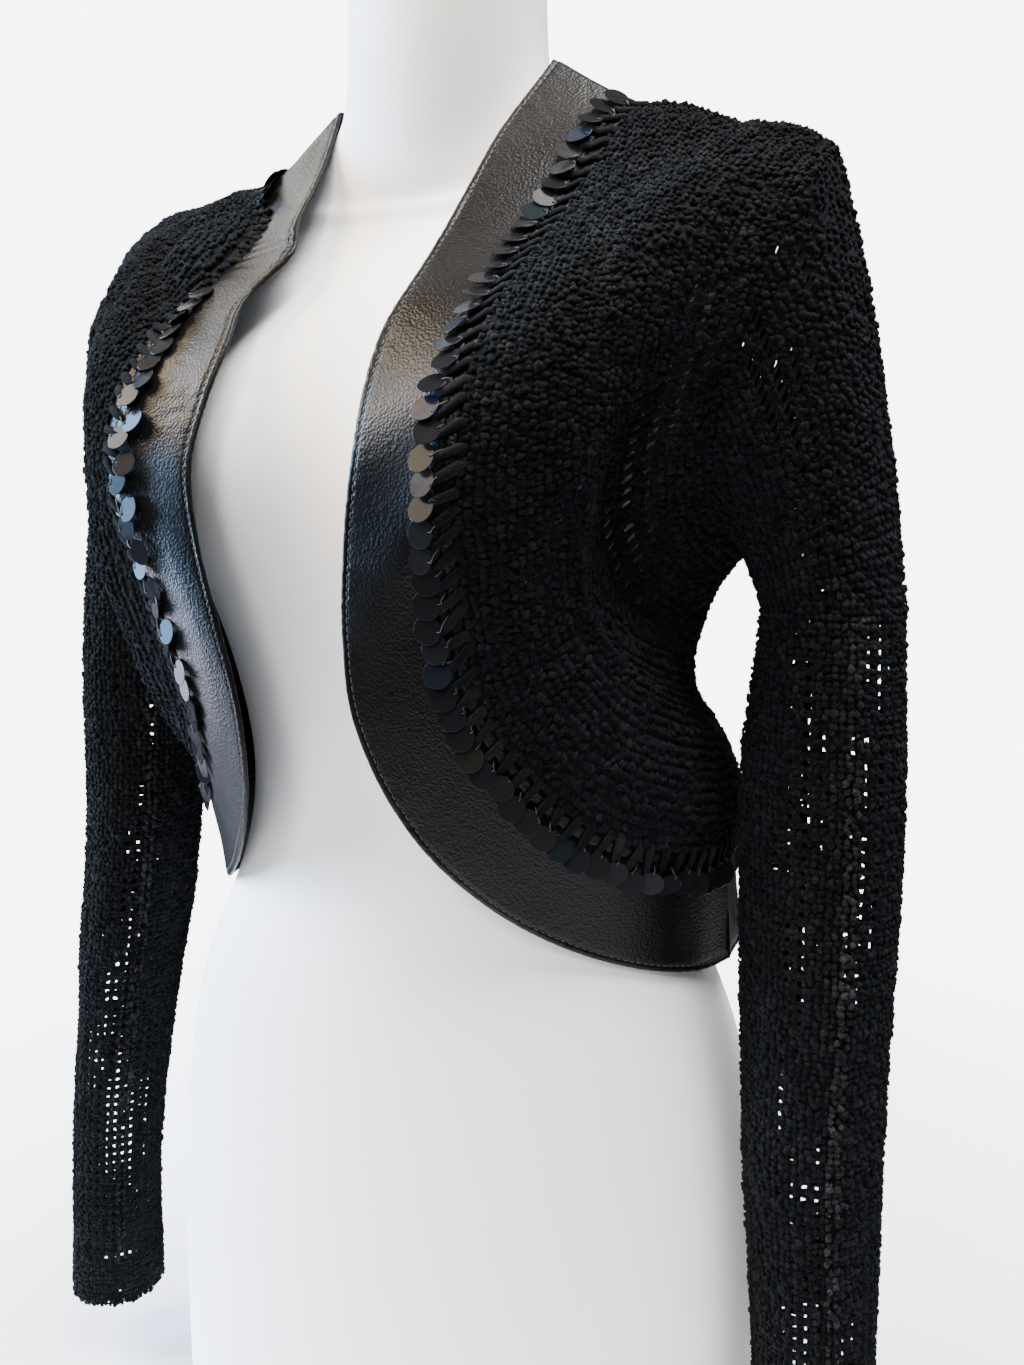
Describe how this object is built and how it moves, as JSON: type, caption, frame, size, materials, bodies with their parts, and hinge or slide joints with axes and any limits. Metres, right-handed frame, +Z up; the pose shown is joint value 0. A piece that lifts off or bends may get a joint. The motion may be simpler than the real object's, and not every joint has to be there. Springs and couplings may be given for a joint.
{
  "type": "crochet bolero jacket on a torso dress form",
  "caption": "Cropped open-front crochet jacket with long mesh sleeves, a wide leather band and paillettes, standing on a limbless torso dress form.",
  "frame": {"origin": "middle of the underside of the whole object's box, on the surface that the form stands on", "axes": "+Z up, the front of the jacket faces -Y, the left side of the jacket is +X"},
  "size_m": [0.4976, 0.2502, 0.832],
  "materials": {
    "knit": "matt fuzzy yarn",
    "leather": "semi-gloss, fine grain",
    "form": "smooth matt"
  },
  "bodies": {
    "root": {"back": "knit", "front_left": "knit", "front_right": "knit", "sleeve_left": "knit", "sleeve_right": "knit", "cuff_left": "knit", "cuff_right": "knit", "band_front_left": "leather", "band_front_right": "leather", "band_neck": "leather", "band_hem": "leather", "form": "form"}
  },
  "joints": []
}
